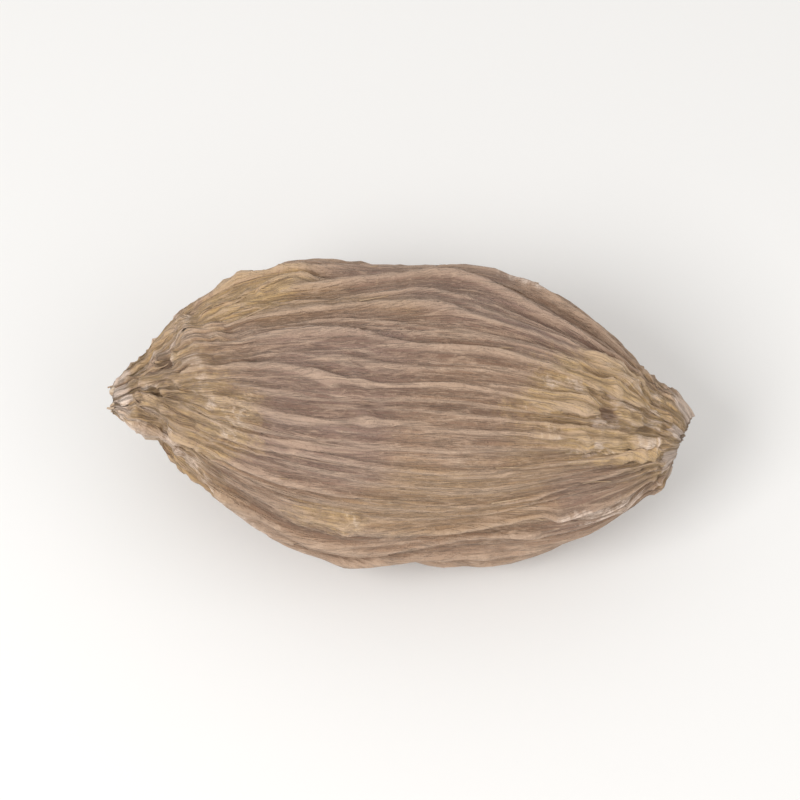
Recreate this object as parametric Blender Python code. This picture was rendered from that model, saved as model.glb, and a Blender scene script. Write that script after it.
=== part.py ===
"""One dried black cardamom pod, lying on its side.

Metres, +Z up. The pod's length runs along X, with its pointed beak at -X and its stalk end at +X. The origin
is on the surface that the pod rests on, under the middle of its box.

The husk is a closed tube of columns and rows. Each rib takes four columns (crest, flank, groove, flank), so the
crests stay sharp, and every point of the tube is placed by husk_point.
"""

import math

import bmesh
import bpy
from mathutils import Vector
from mathutils.geometry import intersect_point_line

MM = 0.001

# Driving dimensions: the whole pod over its ribs, before it is set down on its flat spot
LENGTH = 25.0 * MM
WIDTH = 13.6 * MM
THICKNESS = 12.8 * MM

# Outline seen from above, in shares of the length from the beak
WIDEST = 0.55
BEAK_CURVE, BEAK_TAPER = 3.0, 1.22
STALK_CURVE, STALK_TAPER = 2.0, 0.80
SIDE_SWAY = 1.9 * MM
BEAK_SWAY_EASE, STALK_SWAY_EASE = 0.92, 0.05
END_LIFT = 0.25 * MM

# The two stubs that are left of the flower and of the stalk
BEAK_RADIUS, BEAK_REACH = 0.50 * MM, 0.06
STALK_RADIUS, STALK_REACH = 1.05 * MM, 0.08
STALK_SLANT = 0.9 * MM
STUB_RIM_SHARE = 0.62
BEAK_HOLLOW = 0.30 * MM
STALK_HOLLOW = 0.45 * MM

# Ribs
RIBS = 24
COLUMNS_PER_RIB = 4
ROWS = 44
ROW_CROWDING = 0.55
RIB_HEIGHT = 0.36 * MM
RIB_SHARPNESS = 2.2
GROOVE_SHARE = 0.3
RIB_FADE = 1.0
RIB_STRENGTH = 0.8

# How far ribs wander sideways, in radians, and how their height rises and falls
WANDERS = ((0.045, 1, 1.1, 1.2), (0.025, 5, 1.7, 0.4), (0.014, 9, 3.1, 2.1))
HEIGHT_WAVES = ((0.16, 9, 0.0, 0.7), (0.14, 5, 3.1, 1.9), (0.10, 7, 5.3, 0.2))

# Soft form of the dried body: three valves, shallow dents, and puckered folds behind the beak
VALVES, VALVE_DEPTH, VALVE_TURN = 3, 0.035, math.radians(90)
DENTS = ((0.20 * MM, 2, 1.1, 0.3), (0.14 * MM, 4, 2.3, 1.7), (0.10 * MM, 5, -1.9, 2.6))
PUCKERS, PUCKER_DEPTH, PUCKER_TWIST = 7, 0.24 * MM, 9.0
PUCKER_AT, PUCKER_SPREAD = 0.12, 0.085

# The face that looks up and to the front. Places on it are a share of the length and degrees above its middle
FACE_TURN = math.radians(115)

# Hollows: place, depth and radius. The last one is the pit of the torn scar
HOLLOWS = (
    ((0.10, 30), 0.25 * MM, 0.50 * MM),
    ((0.848, 9), 0.40 * MM, 0.45 * MM),
)

# Folds: start, end, height and half-width. The last one is a crease, where the ribs end behind the beak
FOLDS = (
    ((0.12, 60), (0.18, -4), 0.40 * MM, 0.55 * MM),
    ((0.17, 74), (0.33, 64), 0.40 * MM, 0.75 * MM),
    ((0.04, -52), (0.31, -72), 0.50 * MM, 0.40 * MM),
    ((0.77, -50), (0.88, -58), 0.38 * MM, 0.42 * MM),
    ((0.75, -6), (0.86, -8), 0.26 * MM, 0.50 * MM),
    ((0.83, 36), (0.90, 30), 0.30 * MM, 0.42 * MM),
    ((0.20, 44), (0.27, 8), -0.18 * MM, 0.42 * MM),
)

# The flat spot that the pod rests on, cut this far above its lowest rib
REST_CUT = 0.75 * MM
SHARP_EDGE = math.radians(35)


def clear_scene():
    """Removes whatever the scene holds."""
    for obj in list(bpy.data.objects):
        bpy.data.objects.remove(obj)


def eased(low, high, value):
    """0 up to low, 1 from high, and a smooth rise between them."""
    share = min(max((value - low) / (high - low), 0.0), 1.0)
    return share * share * (3 - 2 * share)


def hump(centre, spread, value):
    """A bell of height 1 round centre."""
    return math.exp(-(((value - centre) / spread) ** 2))


def girth(along):
    """Half-width of the body at a share of its length, as a share of its largest half-width."""
    if along < WIDEST:
        reach, curve, taper = WIDEST, BEAK_CURVE, BEAK_TAPER
    else:
        reach, curve, taper = 1 - WIDEST, STALK_CURVE, STALK_TAPER
    return (1 - (abs(along - WIDEST) / reach) ** curve) ** taper


def stubs(along):
    """What the two stubs add to the body's radius."""
    beak = BEAK_RADIUS * (1 - eased(0, BEAK_REACH, along))
    stalk = STALK_RADIUS * (1 - eased(0, STALK_REACH, 1 - along))
    return beak + stalk


def rib_turn(rib, along):
    """Angle round the axis of a place counted in ribs, with the ribs' wandering."""
    turn = math.tau * rib / RIBS
    for reach, waves, per_length, start in WANDERS:
        turn += reach * math.sin(math.tau * (waves * rib / RIBS + per_length * along) + start)
    return turn


def rib_relief(rib, along):
    """Height of the ribbed surface over the smooth body: 1 crest per rib, with a groove between crests."""
    wave = (1 + math.cos(math.tau * rib)) / 2
    profile = (1 + GROOVE_SHARE) * wave**RIB_SHARPNESS - GROOVE_SHARE
    strength = RIB_STRENGTH
    for share, waves, per_length, start in HEIGHT_WAVES:
        strength += share * math.sin(math.tau * (waves * rib / RIBS + per_length * along) + start)
    return RIB_HEIGHT * girth(along) ** RIB_FADE * strength * profile


def soft_form(along, turn):
    """Shallow dents over the whole body, and deeper folds behind the beak."""
    dents = sum(depth * math.sin(waves * turn + math.tau * per_length * along + start)
                for depth, waves, per_length, start in DENTS)
    folds = PUCKER_DEPTH * hump(PUCKER_AT, PUCKER_SPREAD, along)
    folds *= math.cos(PUCKERS * turn + PUCKER_TWIST * along)
    return girth(along) * dents + folds


def on_face(place, along):
    """A face place, a share of the length and degrees, laid out flat with the pod's radius at along."""
    return Vector((LENGTH * place[0], WIDTH / 2 * girth(along) * math.radians(place[1])))


def away_from(here, start, end):
    """Distance of a flat point from the line between two others."""
    nearest, share = intersect_point_line(here, start, end)
    share = min(max(share, 0.0), 1.0)
    return (here - start.lerp(end, share)).length


def face_relief(along, turn):
    """The hollows and the folds of the face."""
    above = math.degrees(math.remainder(FACE_TURN - turn, math.tau))
    here = on_face((along, above), along)
    relief = 0.0
    for place, depth, radius in HOLLOWS:
        relief -= depth * hump(0, radius, (here - on_face(place, along)).length)
    for start, end, height, half_width in FOLDS:
        away = away_from(here, on_face(start, along), on_face(end, along))
        relief += height * hump(0, half_width, away)
    return relief


def bend(along):
    """How far the pod's middle line is bent sideways, in a flat S, and lifted at its ends."""
    share = 2 * along - 1
    ease = BEAK_SWAY_EASE if share < 0 else STALK_SWAY_EASE
    sway = -SIDE_SWAY * share * abs(share) * (1 - ease * share**4)
    return sway, END_LIFT * share**4


def husk_point(rib, along):
    """Where the husk's surface is, for a place counted in ribs round the pod and a share of its length."""
    turn = rib_turn(rib, along)
    lobes = 1 + VALVE_DEPTH * math.cos(VALVES * (turn - VALVE_TURN))
    relief = rib_relief(rib, along) + soft_form(along, turn) + face_relief(along, turn) + stubs(along)
    across = (WIDTH / 2 - RIB_HEIGHT) * girth(along) * lobes + relief
    upward = (THICKNESS / 2 - RIB_HEIGHT) * girth(along) * lobes + relief
    sway, lift = bend(along)
    slant = STALK_SLANT * eased(1 - STALK_REACH, 1, along) * (1 - math.cos(turn)) / 2
    return Vector((
        LENGTH * (along - 0.5) - slant,
        sway + across * math.cos(turn),
        lift + upward * math.sin(turn),
    ))


def crowded(row):
    """Share of the length of a row: rows are closer together towards both ends."""
    even = row / ROWS
    return even - ROW_CROWDING * math.sin(math.tau * even) / math.tau


def husk_tube(bm):
    """A closed tube of ROWS bands, cut from one cylinder and shaped by husk_point."""
    columns = RIBS * COLUMNS_PER_RIB
    bmesh.ops.create_cone(bm, cap_ends=True, segments=columns, radius1=1, radius2=1, depth=1)
    lengthwise = [edge for edge in bm.edges if abs(edge.verts[0].co.z - edge.verts[1].co.z) > 0.5]
    bmesh.ops.subdivide_edges(bm, edges=lengthwise, cuts=ROWS - 1, use_grid_fill=True)
    for vert in bm.verts:
        column = round(math.atan2(vert.co.y, vert.co.x) / math.tau * columns)
        row = round((vert.co.z + 0.5) * ROWS)
        vert.co = husk_point(column / COLUMNS_PER_RIB, crowded(row))


def hollow_stub(bm, cap, inward, depth):
    """Turns a stub's flat end into a rim round a shallow hollow."""
    centre = cap.calc_center_median()
    bmesh.ops.inset_region(bm, faces=[cap], thickness=0, use_even_offset=False)
    for vert in cap.verts:
        vert.co = centre + (vert.co - centre) * STUB_RIM_SHARE + inward * depth / 2
    middle = bmesh.ops.poke(bm, faces=[cap])["verts"][0]
    middle.co += inward * depth / 2


def hollow_ends(bm):
    """Hollows the ends of the two stubs."""
    beak_cap, stalk_cap = sorted(
        (face for face in bm.faces if len(face.verts) > 4), key=lambda face: face.calc_center_median().x
    )
    hollow_stub(bm, beak_cap, Vector((1, 0, 0)), BEAK_HOLLOW)
    hollow_stub(bm, stalk_cap, Vector((-1, 0, 0)), STALK_HOLLOW)


def set_down(bm):
    """Cuts the flat spot, and puts the pod's box over the origin with that spot on the ground."""
    floor = min(vert.co.z for vert in bm.verts) + REST_CUT
    everything = bm.verts[:] + bm.edges[:] + bm.faces[:]
    cut = bmesh.ops.bisect_plane(
        bm, geom=everything, plane_co=(0, 0, floor), plane_no=(0, 0, 1), clear_inner=True
    )
    rim = [item for item in cut["geom_cut"] if isinstance(item, bmesh.types.BMEdge)]
    bmesh.ops.edgeloop_fill(bm, edges=rim)
    spans = [(min(values), max(values)) for values in zip(*(vert.co for vert in bm.verts))]
    middle = Vector((sum(spans[0]) / 2, sum(spans[1]) / 2, floor))
    bmesh.ops.translate(bm, verts=bm.verts[:], vec=-middle)


def husk_material():
    """The dull, dry, tan-brown husk."""
    material = bpy.data.materials.new("husk")
    material.use_nodes = True
    shader = material.node_tree.nodes["Principled BSDF"]
    shader.inputs["Base Color"].default_value = (0.36, 0.23, 0.16, 1)
    shader.inputs["Roughness"].default_value = 0.8
    shader.inputs["Metallic"].default_value = 0
    return material


def make_pod():
    """The whole pod, as one solid."""
    bm = bmesh.new()
    husk_tube(bm)
    hollow_ends(bm)
    set_down(bm)
    bmesh.ops.recalc_face_normals(bm, faces=bm.faces[:])
    mesh = bpy.data.meshes.new("pod")
    bm.to_mesh(mesh)
    bm.free()
    mesh.materials.append(husk_material())
    mesh.shade_smooth()
    mesh.set_sharp_from_angle(angle=SHARP_EDGE)
    pod = bpy.data.objects.new("pod", mesh)
    bpy.context.scene.collection.objects.link(pod)
    return pod


def main():
    clear_scene()
    make_pod()


main()
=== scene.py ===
"""The looks of one dried black cardamom pod, lying on its side on a pale floor.

The frame's solid gives the size and the place. PodForm repeats the solid's form, and Husk draws it on a finer
net, with the striae, crinkles and frayed crests of a dried husk. The other classes add what stands off it.
"""

import logging
import math
from dataclasses import dataclass
from typing import ClassVar

import bpy
import numpy as np
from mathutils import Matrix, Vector


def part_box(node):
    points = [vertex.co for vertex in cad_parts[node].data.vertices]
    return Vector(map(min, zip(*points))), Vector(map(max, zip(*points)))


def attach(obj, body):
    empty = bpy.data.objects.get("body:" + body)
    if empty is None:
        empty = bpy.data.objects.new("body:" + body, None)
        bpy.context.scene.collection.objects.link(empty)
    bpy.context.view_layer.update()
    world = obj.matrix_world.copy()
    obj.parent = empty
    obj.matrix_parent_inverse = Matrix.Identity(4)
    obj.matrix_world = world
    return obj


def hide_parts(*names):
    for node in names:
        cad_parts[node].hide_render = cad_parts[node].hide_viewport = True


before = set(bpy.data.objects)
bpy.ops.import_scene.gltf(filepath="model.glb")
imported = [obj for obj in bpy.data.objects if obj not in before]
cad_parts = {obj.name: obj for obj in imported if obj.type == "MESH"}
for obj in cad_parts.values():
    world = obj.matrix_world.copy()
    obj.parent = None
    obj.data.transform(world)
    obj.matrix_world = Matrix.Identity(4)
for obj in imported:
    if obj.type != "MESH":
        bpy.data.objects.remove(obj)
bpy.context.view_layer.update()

LOG = logging.getLogger("pod")
NODE = "pod"

Array = np.ndarray
Node = bpy.types.Node
Socket = bpy.types.NodeSocket
Material = bpy.types.Material
Piece = bpy.types.Object
Colour = tuple[float, float, float, float]

# A place on the face is a share of the length, and degrees above the face's middle
Place = tuple[float, float]

# Where an easing starts and where it ends, or the least and the most of a random draw
Span = tuple[float, float]

# A wave over the pod: its height, how often it goes round the pod and along it, and where it starts
Wave = tuple[float, float, float, float]

# One millimetre of the pod at the size that the solid was made, worked out from the frame
MADE_LENGTH = 25.0
POD_LOW, POD_HIGH = (np.array(corner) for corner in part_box(NODE))
MM = float(POD_HIGH[0] - POD_LOW[0]) / MADE_LENGTH


def tone(red: int, green: int, blue: int) -> Colour:
    """A linear colour from the three numbers, 0 to 255, that a picture of it holds.

    Args:
        red: red, as stored in a picture.
        green: green, as stored in a picture.
        blue: blue, as stored in a picture.

    Returns:
        Linear red, green and blue, and an alpha of 1.
    """
    def linear(stored: int) -> float:
        """Linear light of one stored number."""
        share = stored / 255
        return share / 12.92 if share <= 0.04045 else ((share + 0.055) / 1.055) ** 2.4

    return linear(red), linear(green), linear(blue), 1.0


def eased(low: float, high: float, value: Array) -> Array:
    """0 up to low, 1 from high, and a smooth rise between them."""
    share = np.clip((value - low) / (high - low), 0.0, 1.0)
    return share * share * (3 - 2 * share)


def hump(spread: Array | float, away: Array) -> Array:
    """A bell of height 1 where away is 0."""
    return np.exp(-((away / spread) ** 2))


def crests(turns: Array) -> Array:
    """A wave from 0 to 1, with a crest at each whole number of turns."""
    return (1 + np.cos(math.tau * turns)) / 2


class SoftNoise:
    """Smooth noise in three dimensions, between -1 and 1, the same on every run."""

    layer_shift = 7.3

    def __init__(self, seed: int, cells: int = 48) -> None:
        """Draws the lattice.

        Args:
            seed: seed of the draw.
            cells: cells along each side before the noise repeats.
        """
        self.cells = cells
        self.lattice = np.random.default_rng(seed).uniform(-1, 1, (cells, cells, cells))

    def at(self, places: Array, cell: float | tuple[float, float, float]) -> Array:
        """The noise at places.

        Args:
            places: points, with X, Y and Z on the last axis.
            cell: size of one cell, or its size along X, Y and Z.

        Returns:
            One number for each point.
        """
        scaled = places / np.asarray(cell)
        base = np.floor(scaled).astype(int)
        share = scaled - base
        share = share * share * (3 - 2 * share)
        total = np.zeros(places.shape[:-1])
        for corner in np.ndindex(2, 2, 2):
            index = (base + corner) % self.cells
            weight = np.prod(np.where(corner, share, 1 - share), axis=-1)
            total += weight * self.lattice[index[..., 0], index[..., 1], index[..., 2]]
        return total

    def streaks(self, places: Array, along: float, across: float) -> Array:
        """The noise at places, with cells of one size along X and another across it."""
        return self.at(places, (along, across, across))

    def layered(self, places: Array, cell: float, layers: int = 3, stretch: float = 1.0) -> Array:
        """Noise with finer and weaker layers added.

        Args:
            places: points, with X, Y and Z on the last axis.
            cell: size of the largest cells.
            layers: how many layers there are.
            stretch: how many times longer the cells are along X.

        Returns:
            One number for each point, between about -1 and 1.
        """
        places = places / (stretch, 1.0, 1.0)
        total = np.zeros(places.shape[:-1])
        for layer in range(layers):
            total += self.at(places + self.layer_shift * cell * layer, cell / 2**layer) / 2**layer
        return total / (2 - 0.5 ** (layers - 1))


@dataclass(frozen=True)
class Band:
    """A band of the face: where it starts and ends, and half its width."""

    start: Place
    end: Place
    half_width: float


@dataclass(frozen=True)
class Fold(Band):
    """A raised fold of the face, or a crease where its height is below zero."""

    height: float


@dataclass(frozen=True)
class HighlightBand(Band):
    """A band of painted highlight along an edge or a fold's crest, and how strongly it shows."""

    strength: float


@dataclass(frozen=True)
class Hollow:
    """A hollow of the face: its place, its depth and its radius."""

    place: Place
    depth: float
    radius: float


@dataclass(frozen=True)
class Spot:
    """A patch of the face: its place, its reach along and across in millimetres, and its strength."""

    along: float
    above: float
    reach_along: float
    reach_across: float
    strength: float


@dataclass(frozen=True)
class PodForm:
    """The form of the pod, as the solid has it."""

    length: float = 25.0 * MM
    width: float = 13.6 * MM
    thickness: float = 12.8 * MM
    widest: float = 0.55
    beak_curve: float = 3.0
    beak_taper: float = 1.22
    stalk_curve: float = 2.0
    stalk_taper: float = 0.80
    side_sway: float = 1.9 * MM
    beak_sway_ease: float = 0.92
    stalk_sway_ease: float = 0.05
    end_lift: float = 0.25 * MM
    beak_radius: float = 0.50 * MM
    beak_reach: float = 0.06
    stalk_radius: float = 1.05 * MM
    stalk_reach: float = 0.08
    stalk_slant: float = 0.9 * MM
    ribs: int = 24
    row_crowding: float = 0.55
    rib_height: float = 0.36 * MM
    rib_sharpness: float = 2.2
    groove_share: float = 0.3
    rib_fade: float = 1.0
    rib_strength: float = 0.8
    wanders: tuple[Wave, ...] = ((0.045, 1, 1.1, 1.2), (0.025, 5, 1.7, 0.4), (0.014, 9, 3.1, 2.1))
    height_waves: tuple[Wave, ...] = ((0.16, 9, 0.0, 0.7), (0.14, 5, 3.1, 1.9), (0.10, 7, 5.3, 0.2))
    valves: int = 3
    valve_depth: float = 0.035
    valve_turn: float = math.radians(90)
    dents: tuple[Wave, ...] = (
        (0.20 * MM, 2, 1.1, 0.3),
        (0.14 * MM, 4, 2.3, 1.7),
        (0.10 * MM, 5, -1.9, 2.6),
    )
    puckers: int = 7
    pucker_depth: float = 0.24 * MM
    pucker_twist: float = 9.0
    pucker_at: float = 0.12
    pucker_spread: float = 0.085
    face_turn: float = math.radians(115)
    hollows: tuple[Hollow, ...] = (
        Hollow((0.10, 30), 0.25 * MM, 0.50 * MM),
        Hollow((0.848, 9), 0.40 * MM, 0.45 * MM),
    )
    folds: tuple[Fold, ...] = (
        Fold((0.12, 60), (0.18, -4), 0.55 * MM, 0.40 * MM),
        Fold((0.17, 74), (0.33, 64), 0.75 * MM, 0.40 * MM),
        Fold((0.04, -52), (0.31, -72), 0.40 * MM, 0.50 * MM),
        Fold((0.77, -50), (0.88, -58), 0.42 * MM, 0.38 * MM),
        Fold((0.75, -6), (0.86, -8), 0.50 * MM, 0.26 * MM),
        Fold((0.83, 36), (0.90, 30), 0.42 * MM, 0.30 * MM),
        Fold((0.20, 44), (0.27, 8), 0.42 * MM, -0.18 * MM),
    )

    def crowded(self, even: Array, amount: float) -> Array:
        """Shares of the length for even steps: the steps are shorter towards both ends."""
        return even - amount * np.sin(math.tau * even) / math.tau

    def girth(self, along: Array) -> Array:
        """Half-width of the body.

        Args:
            along: share of the length.

        Returns:
            A share of the body's largest half-width.
        """
        short = along < self.widest
        reach = np.where(short, self.widest, 1 - self.widest)
        curve = np.where(short, self.beak_curve, self.stalk_curve)
        taper = np.where(short, self.beak_taper, self.stalk_taper)
        return (1 - np.minimum(np.abs(along - self.widest) / reach, 1.0) ** curve) ** taper

    def stubs(self, along: Array) -> Array:
        """What the two stubs add to the body's radius."""
        beak = self.beak_radius * (1 - eased(0, self.beak_reach, along))
        return beak + self.stalk_radius * (1 - eased(0, self.stalk_reach, 1 - along))

    def with_waves(self, values: Array | float, waves: tuple[Wave, ...], rib: Array, along: Array) -> Array:
        """Values with waves added to them.

        Args:
            values: the values.
            waves: the waves.
            rib: place round the pod, counted in ribs.
            along: share of the length.

        Returns:
            The sums.
        """
        for height, round_it, lengthwise, start in waves:
            place = round_it * rib / self.ribs + lengthwise * along
            values = values + height * np.sin(math.tau * place + start)
        return values

    def turn(self, rib: Array, along: Array) -> Array:
        """Angle round the axis of a place counted in ribs, with the ribs' wandering."""
        return self.with_waves(math.tau * rib / self.ribs, self.wanders, rib, along)

    def rib_strength_at(self, rib: Array, along: Array) -> Array:
        """How strongly the ribs stand out at a place, as a share of their height."""
        strength = self.with_waves(self.rib_strength, self.height_waves, rib, along)
        return self.girth(along) ** self.rib_fade * strength

    def rib_relief(self, rib: Array, along: Array) -> Array:
        """Height of the ribbed surface over the smooth body."""
        profile = (1 + self.groove_share) * crests(rib) ** self.rib_sharpness - self.groove_share
        return self.rib_height * self.rib_strength_at(rib, along) * profile

    def soft_relief(self, along: Array, turn: Array) -> Array:
        """Shallow dents over the whole body, and deeper folds behind the beak.

        Args:
            along: share of the length.
            turn: angle round the axis.

        Returns:
            A height for each place.
        """
        dents = sum(
            depth * np.sin(waves * turn + math.tau * per_length * along + start)
            for depth, waves, per_length, start in self.dents
        )
        folds = self.pucker_depth * hump(self.pucker_spread, along - self.pucker_at)
        return self.girth(along) * dents + folds * np.cos(self.puckers * turn + self.pucker_twist * along)

    def above(self, turn: Array) -> Array:
        """Degrees above the face's middle, between -180 and 180."""
        return np.degrees((self.face_turn - turn + math.pi) % math.tau - math.pi)

    def on_face(self, place_along: Array | float, place_above: Array | float, along: Array) -> Array:
        """A face place laid out flat, with the pod's radius at along.

        Args:
            place_along: share of the length of the place.
            place_above: degrees above the middle of the place.
            along: share of the length where the radius is taken.

        Returns:
            Distances along and across, on the last axis.
        """
        flat_along = np.broadcast_to(self.length * place_along, along.shape)
        flat_across = self.width / 2 * self.girth(along) * np.radians(place_above)
        return np.stack([flat_along, flat_across], axis=-1)

    def away_from_band(self, band: Band, along: Array, above: Array) -> Array:
        """Distance over the surface from the middle line of a band.

        Args:
            band: the band.
            along: share of the length.
            above: degrees above the face's middle.

        Returns:
            The distance, in half-widths of the band.
        """
        here = self.on_face(along, above, along)
        start = self.on_face(*band.start, along)
        reach = self.on_face(*band.end, along) - start
        share = np.sum((here - start) * reach, axis=-1) / np.sum(reach * reach, axis=-1)
        nearest = start + np.clip(share, 0, 1)[..., None] * reach
        return np.linalg.norm(here - nearest, axis=-1) / band.half_width

    def away_from_hollow(self, hollow: Hollow, along: Array, above: Array) -> Array:
        """Distance over the surface from the middle of a hollow."""
        return np.linalg.norm(self.on_face(along, above, along) - self.on_face(*hollow.place, along), axis=-1)

    def face_relief(self, along: Array, turn: Array) -> Array:
        """The hollows and raised folds of the face.

        Args:
            along: share of the length.
            turn: angle round the axis.

        Returns:
            A height for each place.
        """
        above = self.above(turn)
        relief = np.zeros(along.shape)
        for hollow in self.hollows:
            relief -= hollow.depth * hump(hollow.radius, self.away_from_hollow(hollow, along, above))
        for fold in self.folds:
            relief += fold.height * hump(1.0, self.away_from_band(fold, along, above))
        return relief

    def points(self, rib: Array, along: Array) -> Array:
        """Where the surface is, before the pod is set down.

        Args:
            rib: place round the pod, counted in ribs.
            along: share of the length.

        Returns:
            Points, with X, Y and Z on the last axis.
        """
        turn = self.turn(rib, along)
        lobes = 1 + self.valve_depth * np.cos(self.valves * (turn - self.valve_turn))
        relief = self.rib_relief(rib, along) + self.soft_relief(along, turn)
        relief = relief + self.face_relief(along, turn) + self.stubs(along)
        across = (self.width / 2 - self.rib_height) * self.girth(along) * lobes + relief
        upward = (self.thickness / 2 - self.rib_height) * self.girth(along) * lobes + relief
        share = 2 * along - 1
        ease = np.where(share < 0, self.beak_sway_ease, self.stalk_sway_ease)
        sway = -self.side_sway * share * np.abs(share) * (1 - ease * share**4)
        lift = self.end_lift * share**4
        slant = self.stalk_slant * eased(1 - self.stalk_reach, 1, along) * (1 - np.cos(turn)) / 2
        return np.stack([
            self.length * (along - 0.5) - slant,
            sway + across * np.cos(turn),
            lift + upward * np.sin(turn),
        ], axis=-1)


def outward_normals(points: Array) -> Array:
    """Unit normals of a net of points that is closed round its second axis.

    Args:
        points: rows of columns of points.

    Returns:
        A unit vector for each point, pointing out of the tube.
    """
    lengthwise = np.gradient(points, axis=0)
    round_it = np.roll(points, -1, axis=1) - np.roll(points, 1, axis=1)
    normals = np.cross(round_it, lengthwise)
    size = np.linalg.norm(normals, axis=-1, keepdims=True)
    return normals / np.maximum(size, 1e-12)


def blurred(values: Array, columns: int, rows: int) -> Array:
    """A net of numbers, averaged over a few columns and rows on each side.

    Args:
        values: rows of columns of numbers, closed round the second axis.
        columns: columns on each side.
        rows: rows on each side.

    Returns:
        A net of the same shape.
    """
    total = sum(np.roll(values, step, axis=1) for step in range(-columns, columns + 1)) / (2 * columns + 1)
    padded = np.pad(total, ((rows, rows), (0, 0)), mode="edge")
    count = values.shape[0]
    return sum(padded[step:step + count] for step in range(2 * rows + 1)) / (2 * rows + 1)


@dataclass(frozen=True)
class GrainNoise:
    """A noise of the grain: its squeeze along the pod, which makes streaks, and its scale and layers."""

    along: float
    scale: float
    detail: float
    roughness: float


class Nodes:
    """Adds and links the nodes of one node tree."""

    spacing = 180

    def __init__(self, tree: bpy.types.NodeTree) -> None:
        """Takes the tree that nodes are added to."""
        self.tree = tree
        self.column = 0

    def add(self, kind: str, inputs: dict[str | int, object] | None = None, **settings: object) -> Node:
        """Adds a node.

        Args:
            kind: Blender's name of the node type, without the words ShaderNode.
            inputs: for each input, by name or place, a value or the output that is linked to it.
            settings: properties of the node.

        Returns:
            The node.
        """
        node = self.tree.nodes.new(kind if kind.startswith("Node") else "ShaderNode" + kind)
        node.location = (self.column * self.spacing, 0)
        self.column += 1
        for name, value in settings.items():
            setattr(node, name, value)
        for name, value in (inputs or {}).items():
            if isinstance(value, Socket):
                self.tree.links.new(value, node.inputs[name])
            else:
                node.inputs[name].default_value = value
        return node

    def maths(self, operation: str, first: object, second: object = 0.0) -> Socket:
        """The result of a sum on one or two numbers."""
        return self.add("Math", {0: first, 1: second}, operation=operation).outputs[0]

    def times(self, first: object, second: object) -> Socket:
        """The product of two numbers."""
        return self.maths("MULTIPLY", first, second)

    def blend(self, share: object, first: object, second: object) -> Socket:
        """Two colours mixed by a share."""
        return self.add("Mix", {0: share, 6: first, 7: second}, data_type="RGBA").outputs[2]

    def ramp(self, value: object, low: float, high: float) -> Socket:
        """A value spread smoothly from 0 at low to 1 at high."""
        inputs = {"Value": value, "From Min": low, "From Max": high}
        return self.add("MapRange", inputs, interpolation_type="SMOOTHSTEP").outputs["Result"]

    def noise(self, grain: Socket, kind: GrainNoise) -> Socket:
        """A noise of the grain.

        Args:
            grain: grain coordinates.
            kind: the noise.

        Returns:
            The noise, with 0.5 as its mean.
        """
        vector = self.add("Mapping", {"Vector": grain, "Scale": (kind.along, 1.0, 1.0)}).outputs["Vector"]
        inputs = {"Vector": vector, "Scale": kind.scale, "Detail": kind.detail, "Roughness": kind.roughness}
        return self.add("TexNoise", inputs).outputs["Fac"]

    def held(self, name: str, output: str = "Fac") -> Socket:
        """What the mesh holds at each point: a number, or a vector where the output is Vector."""
        return self.add("Attribute", attribute_name=name).outputs[output]


def new_group(
    name: str, inputs: dict[str, object], outputs: tuple[str, ...]
) -> tuple[bpy.types.NodeTree, Nodes]:
    """A shader node group with its sockets.

    Args:
        name: name of the group.
        inputs: for each input, its value. A tuple is a colour, None is a vector, and else it is a number.
        outputs: names of the outputs. Colour is a colour, and the others are numbers.

    Returns:
        The group, and a maker of nodes in it.
    """
    tree = bpy.data.node_groups.new(name, "ShaderNodeTree")
    for label, value in inputs.items():
        kind = "Vector" if value is None else "Color" if isinstance(value, tuple) else "Float"
        socket = tree.interface.new_socket(label, in_out="INPUT", socket_type="NodeSocket" + kind)
        if value is not None:
            socket.default_value = value
    for label in outputs:
        kind = "Color" if label == "Colour" else "Float"
        tree.interface.new_socket(label, in_out="OUTPUT", socket_type="NodeSocket" + kind)
    return tree, Nodes(tree)


BROAD_STREAKS = GrainNoise(0.10, 1.3, 4.0, 0.6)
FINE_STREAKS = GrainNoise(0.28, 4.5, 3.0, 0.65)
BLOTCHES = GrainNoise(1.0, 0.42, 5.0, 0.6)
DARK_SPAN: Span = (0.58, 0.30)
LIGHT_SPAN: Span = (0.50, 0.68)
BLOTCH_SPAN: Span = (0.35, 0.70)
LEAST_LIGHT = 0.35


def dry_streaks_group() -> bpy.types.NodeTree:
    """Colour that runs in streaks along the grain of dried plant tissue, with blotches over it.

    Returns:
        The group.
    """
    tree, nodes = new_group(
        "dry streaks",
        {"Grain": None, "Base": (1, 1, 1, 1), "Dark": (0, 0, 0, 1), "Light": (1, 1, 1, 1), "Amount": 0.5},
        ("Colour",),
    )
    given = nodes.add("NodeGroupInput").outputs
    broad = nodes.noise(given["Grain"], BROAD_STREAKS)
    fine = nodes.noise(given["Grain"], FINE_STREAKS)
    blotch = nodes.noise(given["Grain"], BLOTCHES)
    dark = nodes.times(nodes.ramp(broad, *DARK_SPAN), given["Amount"])
    patch = nodes.maths("ADD", nodes.ramp(blotch, *BLOTCH_SPAN), LEAST_LIGHT)
    light = nodes.times(nodes.times(nodes.ramp(fine, *LIGHT_SPAN), given["Amount"]), patch)
    colour = nodes.blend(light, nodes.blend(dark, given["Base"], given["Dark"]), given["Light"])
    nodes.add("NodeGroupOutput", {"Colour": colour})
    return tree


RIDGES = GrainNoise(0.12, 3.4, 4.0, 0.65)
CRUMB = GrainNoise(1.0, 4.0, 4.0, 0.7)
SPECK_SPAN: Span = (0.44, 0.28)
NOISE_MEAN = 0.5

# Three sets of fibres: the noise that they follow, their width in it, and their weight
FIBRE_SETS = (
    (GrainNoise(0.055, 2.3, 2.0, 0.5), 0.030, 1.0),
    (GrainNoise(0.090, 4.6, 2.0, 0.5), 0.040, 0.7),
    (GrainNoise(0.070, 9.5, 2.0, 0.5), 0.060, 0.55),
)
FIBRE_RELIEF = 0.26


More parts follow.
